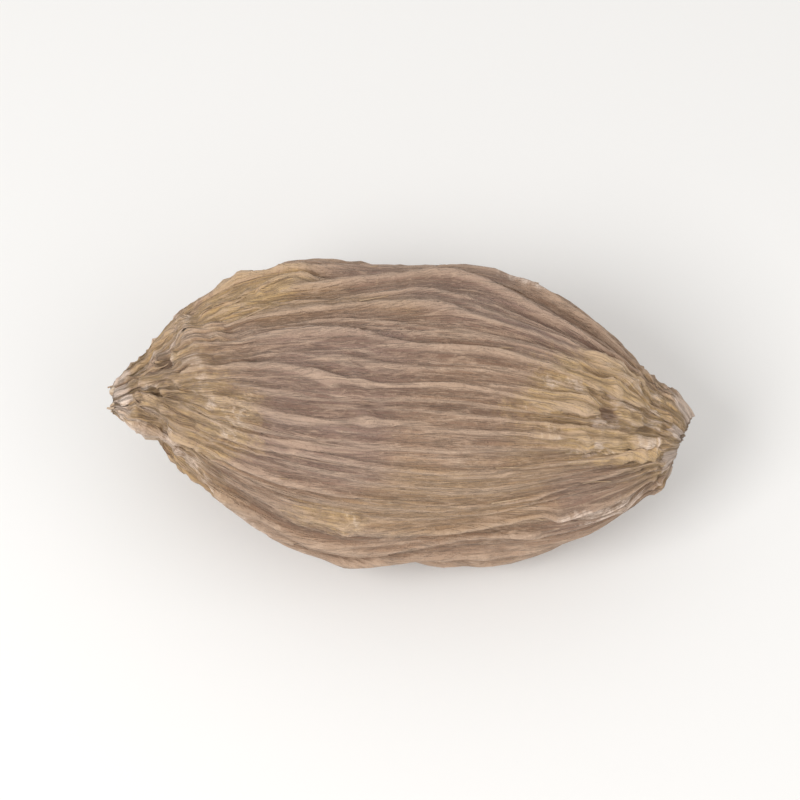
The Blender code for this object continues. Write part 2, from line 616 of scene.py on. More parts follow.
def crinkle_group() -> bpy.types.NodeTree:
    """The finest relief of dry tissue: fibres and ridges along the grain, and a crumb with dark specks.

    Returns:
        The group.
    """
    tree, nodes = new_group(
        "fine crinkle", {"Grain": None, "Crumb": 0.5}, ("Height", "Line", "Speck", "Ragged")
    )
    given = nodes.add("NodeGroupInput").outputs
    line = 0.0
    for kind, width, weight in FIBRE_SETS:
        lift = nodes.maths("SUBTRACT", nodes.noise(given["Grain"], kind), NOISE_MEAN)
        near = nodes.ramp(nodes.maths("ABSOLUTE", lift), width, 0.0)
        line = nodes.maths("MAXIMUM", line, nodes.times(near, weight))
    crumb = nodes.noise(given["Grain"], CRUMB)
    height = nodes.maths("ADD", nodes.noise(given["Grain"], RIDGES), nodes.times(crumb, given["Crumb"]))
    height = nodes.maths("ADD", height, nodes.times(line, FIBRE_RELIEF))
    nodes.add("NodeGroupOutput", {
        "Height": height,
        "Line": line,
        "Speck": nodes.ramp(crumb, *SPECK_SPAN),
        "Ragged": nodes.maths("SUBTRACT", crumb, NOISE_MEAN),
    })
    return tree


def bare_material(name: str) -> tuple[Material, Nodes]:
    """A new material with no nodes yet.

    Args:
        name: its name.

    Returns:
        The material, and a maker of nodes in it.
    """
    material = bpy.data.materials.new(name)
    material.use_nodes = True
    material.node_tree.nodes.clear()
    return material, Nodes(material.node_tree)


@dataclass(frozen=True)
class Groups:
    """The node groups that every tissue shares."""

    streaks: bpy.types.NodeTree
    crinkle: bpy.types.NodeTree


@dataclass(frozen=True)
class TissueFinish:
    """Matte finish of a dried plant tissue: its colours, and how strong its streaks and relief are."""

    name: str
    base: Colour
    dark: Colour
    light: Colour
    streaks: float
    fibres: float
    specks: float
    crumb: float
    bump: float
    roughness: float
    bump_depth: ClassVar[float] = 0.24 * MM

    def painted(self, nodes: Nodes, groups: Groups, grain: Socket) -> Socket:
        """The streaked colour alone."""
        colours = {"Base": self.base, "Dark": self.dark, "Light": self.light}
        return nodes.add(
            "Group", {"Grain": grain, "Amount": self.streaks, **colours}, node_tree=groups.streaks
        ).outputs["Colour"]

    def crinkled(self, nodes: Nodes, groups: Groups, grain: Socket) -> Node:
        """The node that holds the fine relief."""
        return nodes.add("Group", {"Grain": grain, "Crumb": self.crumb}, node_tree=groups.crinkle)

    def shade(self, nodes: Nodes, crinkle: Node, colour: Socket, rough: Socket | float) -> None:
        """Adds the fibres, the specks, the fine relief and the shader.

        Args:
            nodes: maker of nodes in the material.
            crinkle: the node that holds the fine relief.
            colour: the surface's colour.
            rough: the surface's roughness.
        """
        fibre = nodes.times(crinkle.outputs["Line"], self.fibres)
        speck = nodes.times(crinkle.outputs["Speck"], self.specks)
        colour = nodes.blend(speck, nodes.blend(fibre, colour, self.light), self.dark)
        bump = nodes.add("Bump", {
            "Height": crinkle.outputs["Height"], "Strength": self.bump, "Distance": self.bump_depth,
        })
        shader = nodes.add("BsdfPrincipled", {
            "Base Color": colour,
            "Roughness": rough,
            "Normal": bump.outputs["Normal"],
            "Specular IOR Level": 0.30,
            "Sheen Weight": 0.10,
            "Sheen Roughness": 0.6,
        })
        nodes.add("OutputMaterial", {"Surface": shader.outputs["BSDF"]})

    def material(self, groups: Groups) -> Material:
        """The finish with nothing painted over its streaks.

        Args:
            groups: the shared groups.

        Returns:
            The material.
        """
        material, nodes = bare_material(self.name)
        grain = nodes.held("grain", "Vector")
        crinkle = self.crinkled(nodes, groups, grain)
        self.shade(nodes, crinkle, self.painted(nodes, groups, grain), self.roughness)
        return material


@dataclass(frozen=True)
class Tint:
    """A colour that is painted over others, and how much of it shows where its mask is full."""

    colour: Colour
    share: float = 1.0


@dataclass(frozen=True)
class HuskFinish(TissueFinish):
    """Finish of the husk: streaked colour, and tints where its masks are, some of them painted shade and
    highlight.
    """

    golden: Tint
    mauve: Tint
    straw: Tint
    # The groove and nick tints darken the broad and the fine grooves of the relief: painted shade.
    groove_shade: Tint
    nick_shade: Tint
    # The crest tint lightens the broad and the fine crests of the relief: painted highlight.
    crest: Tint
    # Rim tint: pale torn rims and rough patches, plus painted highlight bands and painted light on the stalk
    # rim.
    rim: Tint
    # Hollow tint: the torn tissue's own reddish brown in pits and ends, deepened as painted shade.
    hollow: Tint
    broad_crest_highlight: float = 0.30
    fine_crest_highlight: float = 0.42
    broad_highlight_span: Span = (0.68, 1.0)
    fine_highlight_span: Span = (0.62, 0.95)
    groove_shade_span: Span = (0.40, 0.0)
    straw_roughness: float = 0.10
    raggedness: float = 1.6
    soft_edge: Span = (0.05, 1.0)
    torn_edge: Span = (0.20, 0.90)

    def material(self, groups: Groups) -> Material:
        """The husk's material, which reads the masks that the husk holds at its points.

        Args:
            groups: the shared groups.

        Returns:
            The material.
        """
        material, nodes = bare_material(self.name)
        grain = nodes.held("grain", "Vector")
        crinkle = self.crinkled(nodes, groups, grain)
        height = nodes.held("height")
        fine = nodes.held("fine")
        straw = self.torn_mask(nodes, crinkle, "straw", self.soft_edge)
        # Painted highlight: lighter where the relief stands highest, on the broad and the fine crests
        broad_highlight = nodes.times(nodes.ramp(height, *self.broad_highlight_span), self.broad_crest_highlight)
        fine_highlight = nodes.times(nodes.ramp(fine, *self.fine_highlight_span), self.fine_crest_highlight)
        layers = (
            (nodes.held("golden"), self.golden),
            (nodes.held("mauve"), self.mauve),
            (straw, self.straw),
            # Painted shade: darker where the relief is lowest, in the broad and the fine grooves
            (nodes.ramp(height, *self.groove_shade_span), self.groove_shade),
            (nodes.ramp(fine, *self.groove_shade_span), self.nick_shade),
            (nodes.maths("MAXIMUM", broad_highlight, fine_highlight), self.crest),
            # Pale torn rims and patches, and painted highlights in the same mask
            (self.torn_mask(nodes, crinkle, "rim", self.torn_edge), self.rim),
            # Reddish brown of pits and torn ends, partly painted shade
            (self.torn_mask(nodes, crinkle, "hollow", self.torn_edge), self.hollow),
        )
        colour = self.painted(nodes, groups, grain)
        for mask, tint in layers:
            colour = nodes.blend(nodes.times(mask, tint.share), colour, tint.colour)
        rough = nodes.maths("ADD", self.roughness, nodes.times(straw, self.straw_roughness))
        self.shade(nodes, crinkle, colour, rough)
        return material

    def torn_mask(self, nodes: Nodes, crinkle: Node, name: str, edge: Span) -> Socket:
        """A mask of the mesh with a ragged edge, which rises from 0 to 1 between the values of edge."""
        ragged = nodes.times(crinkle.outputs["Ragged"], self.raggedness)
        return nodes.ramp(nodes.maths("ADD", nodes.held(name), ragged), *edge)


HUSK = HuskFinish(
    name="dried husk",
    base=tone(169, 138, 115),
    dark=tone(134, 106, 87),
    light=tone(202, 174, 150),
    streaks=0.8,
    fibres=0.50,
    specks=0.35,
    crumb=0.6,
    bump=0.9,
    roughness=0.80,
    golden=Tint(tone(180, 148, 109), 0.75),
    mauve=Tint(tone(150, 123, 113), 0.65),
    straw=Tint(tone(207, 174, 125), 0.80),
    # Painted shade of the grooves
    groove_shade=Tint(tone(102, 76, 60), 0.24),
    nick_shade=Tint(tone(102, 76, 60), 0.28),
    # Painted highlight of the crests
    crest=Tint(tone(206, 179, 156)),
    # Paler than the torn rim itself, so that it reads pale in shade: partly painted light
    rim=Tint(tone(240, 219, 203), 0.92),
    # Reddish brown of the pits and ends, deepened as painted shade
    hollow=Tint(tone(112, 74, 58), 0.60),
)

PAPER = TissueFinish(
    name="papery shred",
    base=tone(200, 175, 148),
    dark=tone(160, 132, 106),
    light=tone(228, 210, 188),
    streaks=0.8,
    fibres=0.4,
    specks=0.2,
    crumb=0.4,
    bump=0.4,
    roughness=0.85,
)

FIBRE = TissueFinish(
    name="loose fibre",
    base=tone(184, 156, 124),
    dark=tone(132, 104, 80),
    light=tone(214, 192, 164),
    streaks=0.7,
    fibres=0.3,
    specks=0.0,
    crumb=0.3,
    bump=0.3,
    roughness=0.80,
)


def new_piece(name: str, points: Array, faces: list[tuple[int, ...]], material: Material) -> Piece:
    """A piece of the pod, smooth, riding on the pod's body.

    Args:
        name: name of the piece.
        points: its points.
        faces: lists of point numbers.
        material: its material.

    Returns:
        The piece.
    """
    mesh = bpy.data.meshes.new(name)
    mesh.from_pydata(points, [], faces)
    mesh.materials.append(material)
    mesh.shade_smooth()
    mesh.update()
    piece = bpy.data.objects.new(name, mesh)
    bpy.context.scene.collection.objects.link(piece)
    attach(piece, "root")
    return piece


def hold(piece: Piece, name: str, values: Array) -> None:
    """Keeps one number or one vector for each point of a piece.

    Args:
        piece: the piece.
        name: the name that the material reads.
        values: a list of numbers or of vectors.
    """
    kind, label = ("FLOAT", "value") if values.ndim == 1 else ("FLOAT_VECTOR", "vector")
    layer = piece.data.attributes.new(name, kind, "POINT")
    layer.data.foreach_set(label, np.ascontiguousarray(values, dtype=np.float32).ravel())


@dataclass
class Husk:
    """The husk on a fine net: columns round the pod, rows along it, and rings that close both ends.

    The sizes of noise cells and the reaches of spots are in millimetres. Spans along the pod are shares of
    its length.
    """

    form: PodForm
    finish: HuskFinish
    columns: int = 600
    rows: int = 150
    row_crowding: float = 0.3
    solid_columns: int = 96
    solid_rows: int = 44
    broad_seed: int = 11
    fine_seed: int = 23
    map_margin: float = 0.01
    cap_rings: int = 5
    cap_reach: float = 0.97
    cap_tear: float = 0.5
    cap_shade: float = 0.95
    beak_hollow: float = 0.30 * MM
    stalk_hollow: float = 0.70 * MM
    stria_height: float = 0.15 * MM
    fine_stria_height: float = 0.08 * MM
    stria_mean: float = 0.4
    thin_rib_height: float = 0.22 * MM
    third_rib_height: float = 0.15 * MM
    thin_rib_drift: float = 0.30
    thin_rib_span: Span = (-0.45, 0.25)
    third_rib_fade: float = 0.5
    pit_depth: float = 0.12 * MM
    pit_edge: Span = (1.15, 0.30)
    pit_raggedness: float = 0.30
    pit_calm: float = 0.7
    crest_lean: float = 0.5
    lean_share: float = 0.8
    crumple_height: float = 0.34 * MM
    crumple_mean: float = 0.6
    small_crumples: float = 0.5
    wrinkle_height: float = 0.06 * MM
    wrinkle_span: Span = (0.1, 0.6)
    rough_wrinkles: float = 0.5
    fray_height: float = 0.12 * MM
    scale_height: float = 0.18 * MM
    scale_span: Span = (0.02, 0.12)
    lip_span: Span = (0.974, 0.992)
    lip_height: float = 0.04 * MM
    splinter_height: float = 0.16 * MM
    tear: float = 0.22 * MM
    beak_tear_span: Span = (0.02, 0.0)
    stalk_tear_span: Span = (0.98, 1.0)
    beak_calm: float = 0.6
    beak_calm_span: Span = (0.27, 0.15)
    fine_calm: float = 0.5
    beak_quiet_span: Span = (0.0, 0.02)
    stalk_quiet_span: Span = (0.995, 0.965)
    least_relief: float = 0.25
    beak_rough_span: Span = (0.26, 0.10)
    stalk_rough_span: Span = (0.88, 0.97)
    rough_raggedness: float = 0.05
    straw_roughness: float = 0.8
    spot_edge: Span = (1.25, 0.55)
    spot_raggedness: float = 0.45
    beak_rim_span: Span = (0.050, 0.020)
    stalk_rim_span: Span = (0.968, 0.990)
    # The stalk rim's mask goes past full, so its pale shows through the shade it faces: painted light
    stalk_rim_strength: float = 2.8
    stalk_rim_limit: float = 1.7
    rim_raggedness: float = 0.012
    rim_break_span: Span = (-0.8, 0.2)
    rim_back_span: Span = (60, 120)
    rim_back_fade: float = 0.7
    streak_mean: float = 0.65
    streak_swing: float = 0.5
    rim_floor: float = 0.1
    rim_gain: float = 1.2
    patch_span: Span = (0.0, 0.45)
    patch_strength: float = 0.60
    # These place the painted highlights along the highlight bands, on the high places only
    band_edge: Span = (1.3, 0.0)
    band_raggedness: float = 0.375
    highlight_height_span: Span = (0.0, 0.8)
    end_straw: float = 0.75
    flake_gap: float = 0.45
    flake_span: Span = (-0.1, 0.3)
    tint_span: Span = (0.1, 0.7)
    golden_cell: float = 4.5
    mauve_cell: float = 5.2
    straw_spots: tuple[Spot, ...] = (
        Spot(0.84, 6, 3.6, 2.7, 1.2),
        Spot(0.24, 66, 3.2, 1.9, 0.9),
        Spot(0.37, -52, 2.0, 1.1, 0.6),
        Spot(0.17, -14, 2.4, 2.8, 0.8),
    )
    golden_spots: tuple[Spot, ...] = (
        Spot(0.40, 40, 4.5, 1.2, 0.8),
        Spot(0.60, -40, 6.0, 2.6, 0.7),
        Spot(0.30, 60, 3.0, 2.0, 0.8),
    )
    mauve_spots: tuple[Spot, ...] = (
        Spot(0.66, 48, 5.0, 2.4, 1.0),
        Spot(0.36, 2, 3.6, 2.4, 0.8),
        Spot(0.54, 74, 5.5, 2.6, 1.0),
        Spot(0.82, -40, 2.4, 1.6, 0.7),
    )
    calm_spots: tuple[Spot, ...] = (
        Spot(0.60, -30, 7.5, 2.8, 0.65),
        Spot(0.52, 6, 3.0, 1.0, 0.3),
    )
    small_folds: tuple[Fold, ...] = (
        Fold((0.36, 12), (0.45, -4), 0.30 * MM, 0.18 * MM),
        Fold((0.41, 16), (0.47, 2), 0.24 * MM, 0.14 * MM),
        Fold((0.86, 22), (0.89, 6), 0.26 * MM, 0.20 * MM),
        Fold((0.81, 16), (0.85, 26), 0.28 * MM, 0.16 * MM),
        Fold((0.12, 6), (0.17, 24), 0.30 * MM, 0.20 * MM),
        Fold((0.06, -12), (0.14, -30), 0.30 * MM, 0.20 * MM),
    )
    # Painted highlights along the outline edges and the crests of folds
    highlight_bands: tuple[HighlightBand, ...] = (
        HighlightBand((0.04, -54), (0.33, -76), 0.45 * MM, 1.1),
        HighlightBand((0.79, -54), (0.90, -62), 0.80 * MM, 1.5),
        HighlightBand((0.50, 76), (0.74, 70), 0.30 * MM, 0.5),
        HighlightBand((0.12, 60), (0.18, -4), 0.50 * MM, 0.7),
    )

    def __post_init__(self) -> None:
        """Lays out the net, and works out the form and the rough places on it."""
        even = np.linspace(0, 1, self.rows + 1)
        ribs = np.arange(self.columns) * self.form.ribs / self.columns
        self.along, self.rib = np.meshgrid(self.form.crowded(even, self.row_crowding), ribs, indexing="ij")
        self.turn = self.form.turn(self.rib, self.along)
        self.above = self.form.above(self.turn)
        self.girth = self.form.girth(self.along)
        self.crest = crests(self.rib)
        radius = self.form.width / 2 / MM
        reach = self.along * self.form.length / MM
        self.grain = np.stack([reach, radius * np.cos(self.turn), radius * np.sin(self.turn)], axis=-1)
        self.broad_noise = SoftNoise(self.broad_seed)
        self.fine_noise = SoftNoise(self.fine_seed)
        ragged = self.along + self.rough_raggedness * self.broad_noise.layered(self.grain, cell=1.6)
        self.ends = np.maximum(eased(*self.beak_rough_span, ragged), eased(*self.stalk_rough_span, ragged))
        self.straw = self.spotted(self.straw_spots)
        self.rough = np.maximum(self.ends, self.straw_roughness * self.straw)

    def spotted(self, spots: tuple[Spot, ...]) -> Array:
        """How much of the given spots is at each point of the net.

        Args:
            spots: the spots.

        Returns:
            The strength of the strongest spot at each point, and 0 outside them all.
        """
        total = np.zeros(self.along.shape)
        here = self.form.on_face(self.along, self.above, self.along) / MM
        ragged = self.spot_raggedness * self.broad_noise.layered(self.grain, cell=1.2, stretch=1.8)
        for spot in spots:
            away = here - self.form.on_face(spot.along, spot.above, self.along) / MM
            reach = np.hypot(away[..., 0] / spot.reach_along, away[..., 1] / spot.reach_across)
            total = np.maximum(total, spot.strength * eased(*self.spot_edge, reach + ragged))
        return total

    def thin_ribs(self) -> Array:
        """Height of the thin ribs that come and go between the solid's ribs.

        Returns:
            A height for each point of the net.
        """
        drift = self.thin_rib_drift * self.broad_noise.streaks(self.grain, along=7.0, across=2.4)
        present = eased(*self.thin_rib_span, self.broad_noise.streaks(self.grain, along=6.0, across=1.6))
        share = 1 - self.third_rib_fade * present
        second = self.thin_rib_height * crests(2 * self.rib + drift) ** 4 * present
        third = self.third_rib_height * crests(3 * self.rib + 2 * drift) ** 3 * share
        return (second + third) * self.girth

    def leaning(self) -> Array:
        """How much the crests lean over to one side, as a change of height on their flanks.

        Returns:
            A height for each point of the net.
        """
        lean = self.crest_lean * self.fine_noise.streaks(self.grain, along=5.0, across=2.2)
        leaned = (1 + np.cos(math.tau * self.rib + lean * np.sin(math.tau * self.rib))) / 2
        return self.form.rib_height * self.girth * self.lean_share * (leaned**3 - self.crest**3)

    def pits(self) -> Array:
        """Where the ragged bottoms of the face's hollows are.

        Returns:
            0 on plain skin, up to 1 in the bottoms.
        """
        ragged = self.pit_raggedness * self.fine_noise.layered(self.grain, cell=0.5)
        total = np.zeros(self.along.shape)
        for hollow in self.form.hollows:
            away = self.form.away_from_hollow(hollow, self.along, self.above) / hollow.radius
            total = np.maximum(total, eased(*self.pit_edge, away + ragged))
        return total

    def striae(self) -> Array:
        """Height of the striae that run along the whole husk.

        Returns:
            A height for each point of the net.
        """
        coarse = 1 - np.abs(self.broad_noise.streaks(self.grain, along=6.0, across=0.46))
        fine = 1 - np.abs(self.fine_noise.streaks(self.grain, along=3.0, across=0.21))
        height = self.stria_height * (coarse**4 - self.stria_mean)
        height = height + self.fine_stria_height * (fine**3 - self.stria_mean)
        return height * self.girth**0.5

    def crumples(self, places: Array) -> Array:
        """Height of the crumpled tissue at the ends, and of the wrinkles across the grain.

        Args:
            places: the points of the net, in millimetres.

        Returns:
            A height for each point of the net.
        """
        broad = 1 - np.abs(self.broad_noise.streaks(places, along=1.7, across=1.0))
        small = 1 - np.abs(self.fine_noise.streaks(places, along=0.8, across=0.5))
        ridges = broad**3 + self.small_crumples * small**3 - self.crumple_mean
        ripple = self.broad_noise.streaks(self.grain, along=0.42, across=2.0)
        wrinkled = eased(*self.wrinkle_span, self.fine_noise.at(self.grain, cell=3.4))
        where = np.maximum(self.rough_wrinkles * self.rough, wrinkled)
        return self.crumple_height * self.rough * ridges + self.wrinkle_height * where * ripple

    def scales(self) -> Array:
        """Height of the thin scales of the outer skin that is left on the rough places."""
        level = self.fine_noise.layered(self.grain, cell=0.8, layers=2, stretch=2.4)
        return self.scale_height * self.rough * eased(*self.scale_span, level)

    def lip(self) -> Array:
        """Height of the splintered lip round the torn stalk end."""
        splinters = self.broad_noise.layered(self.grain, cell=0.42, layers=2, stretch=9.0)
        return eased(*self.lip_span, self.along) * (self.lip_height + self.splinter_height * splinters)

    def fray(self) -> Array:
        """Height of the notches and tatters along the crests of the ribs."""
        return self.fray_height * self.crest**6 * self.fine_noise.layered(self.grain, cell=0.95)

    def placed(self, points: Array) -> Array:
        """Points of the form, set down as the solid is.

        Args:
            points: points of the form.

        Returns:
            The points, moved by what brings the form's coarse net onto the solid.
        """
        even = np.linspace(0, 1, self.solid_rows + 1)
        ribs = np.arange(self.solid_columns) * self.form.ribs / self.solid_columns
        along, rib = np.meshgrid(self.form.crowded(even, self.form.row_crowding), ribs, indexing="ij")
        solid = self.form.points(rib, along).reshape(-1, 3)
        shift = (POD_LOW + POD_HIGH) / 2 - (solid.min(axis=0) + solid.max(axis=0)) / 2
        shift[2] = POD_HIGH[2] - solid[:, 2].max()
        return points + shift

    def skin(self) -> Array:
        """The skin with all its relief, before the underside is pressed flat.

        Returns:
            Rows of columns of points.
        """
        base = self.placed(self.form.points(self.rib, self.along))
        ribs = self.form.rib_relief(self.rib, self.along)
        self.pit_mask = self.pits()
        relief = self.striae() + self.thin_ribs() + self.fray() + self.leaning() + self.scales()
        relief = (relief + self.crumples(base / MM)) * (1 - self.pit_calm * self.pit_mask)
        relief = relief - self.pit_depth * self.pit_mask
        for fold in self.small_folds:
            relief += fold.height * hump(1.0, self.form.away_from_band(fold, self.along, self.above))
        calmed = self.spotted(self.calm_spots)
        calm = np.maximum(self.beak_calm * eased(*self.beak_calm_span, self.along), calmed)
        relief = relief * (1 - self.fine_calm * calmed) - calm * ribs
        quiet = eased(*self.beak_quiet_span, self.along) * eased(*self.stalk_quiet_span, self.along)
        self.fine_relief = relief * (self.least_relief + (1 - self.least_relief) * quiet) + self.lip()
        self.whole_relief = ribs + self.fine_relief + self.form.face_relief(self.along, self.turn)
        skin = base + outward_normals(base) * self.fine_relief[..., None]
        torn = self.tear * self.fine_noise.layered(base / MM, cell=0.7)
        at_ends = eased(*self.beak_tear_span, self.along) + eased(*self.stalk_tear_span, self.along)
        skin[..., 0] += torn * at_ends
        return skin

    def cap(self, rim: Array, inward: float, hollow: float) -> Array:
        """The rings that close one end: from its rim to its middle, with a torn hollow.

        Args:
            rim: the skin's last ring.
            inward: 1 or -1, the way into the pod along X.
            hollow: depth of the hollow.

        Returns:
            Rings of points, the last of them a speck round the middle.
        """
        middle = rim.mean(axis=0)
        rings = []
        for step in range(1, self.cap_rings + 1):
            share = 1 - step / self.cap_rings * self.cap_reach
            ring = middle + (rim - middle) * share
            torn = 1 + self.cap_tear * self.fine_noise.at(ring / MM, cell=0.35)
            ring[:, 0] += inward * hollow * (1 - share**2) * torn
            rings.append(ring)
        return np.array(rings)

    def level(self, relief: Array, columns: int, rows: int, span: float) -> Array:
        """How high each point stands among the points round it.

        Args:
            relief: a height for each point of the net.
            columns: columns on each side that count.
            rows: rows on each side that count.
            span: millimetres between the values 0 and 1.

        Returns:
            0 in the lowest places, 0.5 on the level, and 1 on a crest.
        """
        height = relief / MM
        return np.clip(0.5 + (height - blurred(height, columns, rows)) / span, 0, 1)

    def pale_and_highlit_places(self, height: Array) -> Array:
        """Pale torn rims, lifted as painted light at the stalk, pale rough patches, and painted highlight
        bands.

        Args:
            height: how high each point stands, from 0 to 1.

        Returns:
            The strength at each point of the net.
        """
        swing = self.streak_swing * self.fine_noise.streaks(self.grain, along=2.6, across=0.2)
        streak = self.streak_mean + swing
        torn = self.along + self.rim_raggedness * self.broad_noise.layered(self.grain, cell=0.8)
        stalk = np.minimum(self.stalk_rim_strength * eased(*self.stalk_rim_span, torn), self.stalk_rim_limit)
        broken = eased(*self.rim_break_span, self.broad_noise.streaks(self.grain, along=3.0, across=1.3))
        shown = 1 - self.rim_back_fade * eased(*self.rim_back_span, np.abs(self.above))
        rim = np.maximum(eased(*self.beak_rim_span, torn), stalk)
        pale = rim * (self.rim_floor + self.rim_gain * streak) * broken * shown
        patches = eased(*self.patch_span, self.broad_noise.layered(self.grain, cell=0.9))
        pale = np.maximum(pale, self.patch_strength * self.rough * patches)
        # Painted highlights along the bands, on the high places only
        ragged = self.band_raggedness * self.fine_noise.layered(self.grain, cell=0.6)
        for band in self.highlight_bands:
            away = self.form.away_from_band(band, self.along, self.above)
            highlit = eased(*self.band_edge, away + ragged) * eased(*self.highlight_height_span, height)
            pale = np.maximum(pale, band.strength * highlit * streak)
        return pale

    def masks(self) -> dict[str, Array]:
        """The masks that the husk's material reads.

        Returns:
            For each name, a number for each point of the net.
        """
        # height and fine place the painted shade in grooves and the painted highlight on crests
        height = self.level(self.whole_relief, columns=20, rows=2, span=0.50)
        flakes = eased(*self.flake_span, self.fine_noise.layered(self.grain, cell=1.1, stretch=1.6))
        straw = self.ends * (self.end_straw - self.flake_gap * flakes)
        golden = eased(*self.tint_span, self.broad_noise.at(self.grain, self.golden_cell))
        mauve = eased(*self.tint_span, self.fine_noise.at(self.grain, self.mauve_cell))
        return {
            "height": height,
            "fine": self.level(self.fine_relief, columns=6, rows=1, span=0.13),
            "rim": self.pale_and_highlit_places(height),
            "straw": np.maximum(self.straw, straw),
            "golden": np.maximum(self.spotted(self.golden_spots), golden),
            "mauve": np.maximum(self.spotted(self.mauve_spots), mauve),
        }

    def build(self, groups: Groups) -> Piece:
        """Builds and dresses the husk.

        Args:
            groups: the shared node groups.

        Returns:
            The piece.
        """
        skin = self.skin()
        beak = self.cap(skin[0], 1.0, self.beak_hollow)[::-1]
        stalk = self.cap(skin[-1], -1.0, self.stalk_hollow)
        rings = np.concatenate([beak, skin, stalk])
        rings[..., 2] = np.maximum(rings[..., 2], POD_LOW[2])
        surface = rings[self.cap_rings:-self.cap_rings]
        smoothed = [blurred(surface[..., axis], columns=4, rows=1) for axis in range(3)]
        self.surface = np.stack(smoothed, axis=-1)
        self.normals = outward_normals(self.surface)
        count = len(rings)
        points = np.concatenate([rings.reshape(-1, 3), [rings[0].mean(axis=0), rings[-1].mean(axis=0)]])
        piece = new_piece("husk_skin", points, self.faces(count), self.finish.material(groups))
        for name, values in self.masks().items():
            hold(piece, name, self.over_caps(values))
        # Inside the caps and in the pits: reddish brown, partly painted shade
        hold(piece, "hollow", self.over_caps(self.pit_mask, self.cap_shade))
        inside = self.over_caps(np.zeros(self.along.shape), 1.0)[:, None] > 0
        hold(piece, "grain", np.where(inside, points / MM, self.over_caps(self.grain)))
        self.unwrap(piece, count)
        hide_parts(NODE)
        return piece

    def faces(self, count: int) -> list[tuple[int, ...]]:
        """The faces between all rings, and the fans that close both ends.

        Args:
            count: how many rings there are.

        Returns:
            Lists of point numbers.
        """
        columns = self.columns
        here = np.arange(count - 1)[:, None] * columns + np.arange(columns)
        beside = np.arange(count - 1)[:, None] * columns + (np.arange(columns) + 1) % columns
        quads = np.stack([here, beside, beside + columns, here + columns], axis=-1).reshape(-1, 4)
        last = (count - 1) * columns
        faces = [tuple(quad) for quad in quads.tolist()]
        for column in range(columns):
            after = (column + 1) % columns
            faces.append((after, column, count * columns))
            faces.append((last + column, last + after, count * columns + 1))
        return faces

    def over_caps(self, values: Array, inside: float | None = None) -> Array:
        """Values of the skin's net, carried on over both caps and their middle points.

        Args:
            values: a number or a vector for each point of the net.
            inside: the value inside the caps, if it isn't that of the rims.

        Returns:
            A list with one entry for each point of the piece.
        """
        first = np.repeat(values[:1], self.cap_rings, axis=0)
        last = np.repeat(values[-1:], self.cap_rings, axis=0)
        if inside is not None:
            first = np.full_like(first, inside)
            last = np.full_like(last, inside)
        whole = np.concatenate([first, values, last])
        return np.concatenate([whole.reshape(-1, *values.shape[2:]), first[:1, 0], last[:1, 0]])

    def unwrap(self, piece: Piece, count: int) -> None:
        """Unrolls the husk's net into a map: round the pod by along it.

        Args:
            piece: the husk.
            count: how many rings it has.
        """
        layer = piece.data.uv_layers.new(name="OFBake")
        corners = np.empty(len(piece.data.loops), dtype=np.int32)
        piece.data.loops.foreach_get("vertex_index", corners)
        column = corners % self.columns
        row = np.minimum(corners // self.columns, count - 1)
        starts = np.empty(len(piece.data.polygons), dtype=np.int32)
        piece.data.polygons.foreach_get("loop_start", starts)
        sides = np.diff(np.append(starts, len(corners)))
        owner = np.repeat(np.arange(len(starts)), sides)
        wraps = np.zeros(len(starts), dtype=bool)
        np.logical_or.at(wraps, owner, column == self.columns - 1)
        across = np.where(wraps[owner] & (column == 0), 1.0, column / self.columns)
        up = self.map_margin + (1 - 2 * self.map_margin) * row / (count - 1)
        layer.data.foreach_set("uv", np.stack([across, up], axis=-1).astype(np.float32).ravel())

    def at(self, rib: float, along: float) -> tuple[Array, Array]:
        """The point of the finished skin at a place, with its finest relief smoothed, and its normal.

        Args:
            rib: place round the pod, counted in ribs.
            along: share of the length.

        Returns:
            The point and the unit normal.
        """
        column = (rib / self.form.ribs * self.columns) % self.columns
        row = float(np.interp(along, self.along[:, 0], np.arange(self.rows + 1)))
        left, low = int(column), min(int(row), self.rows - 1)
        right = (left + 1) % self.columns
        found = []
        for net in (self.surface, self.normals):
            before = net[low:low + 2, left % self.columns] * (left + 1 - column)
            below, above = before + net[low:low + 2, right] * (column - left)
            found.append(below * (low + 1 - row) + above * (row - low))
        return found[0], found[1] / np.linalg.norm(found[1])


@dataclass(frozen=True)
class Strand:
    """A thin tapering strand: its middle line, the way its flat side faces, and half its sizes."""

    path: Array
    facing: Array
    half_widths: Array
    half_thickness: float


class Strands:
    """Collects strands and joins them in one piece."""

    sides = 6
    floor_gap = 0.02 * MM

    def __init__(self) -> None:
        """Starts with none."""
        self.points: list[Array] = []
        self.faces: list[tuple[int, ...]] = []
        self.count = 0

    def add(self, strand: Strand) -> None:
        """Adds a strand as a closed flattened tube.

        Args:
            strand: the strand.
        """
        run = np.gradient(strand.path, axis=0)
        run /= np.linalg.norm(run, axis=-1, keepdims=True)
        side = np.cross(run, strand.facing)
        side /= np.linalg.norm(side, axis=-1, keepdims=True)
        face = np.cross(side, run)
        angles = np.arange(self.sides) * math.tau / self.sides
        rings = strand.path[:, None]
        rings = rings + np.cos(angles)[None, :, None] * (side * strand.half_widths[:, None])[:, None]
        rings = rings + np.sin(angles)[None, :, None] * (face * strand.half_thickness)[:, None]
        rings[..., 2] = np.maximum(rings[..., 2], POD_LOW[2] + self.floor_gap)
        last = self.count + (len(strand.path) - 1) * self.sides
        for low in range(self.count, last, self.sides):
            high = low + self.sides
            for corner in range(self.sides):
                after = (corner + 1) % self.sides
                self.faces.append((low + corner, low + after, high + after, high + corner))
        self.faces.append(tuple(self.count + corner for corner in reversed(range(self.sides))))
        self.faces.append(tuple(last + corner for corner in range(self.sides)))
        self.points.append(rings.reshape(-1, 3))
        self.count += len(strand.path) * self.sides

    def build(self, name: str, material: Material) -> Piece:
        """Makes the piece.

        Args:
            name: name of the piece.
            material: its material.

        Returns:
            The piece.
        """
        points = np.concatenate(self.points)
        piece = new_piece(name, points, self.faces, material)
        hold(piece, "grain", points / MM)
        return piece


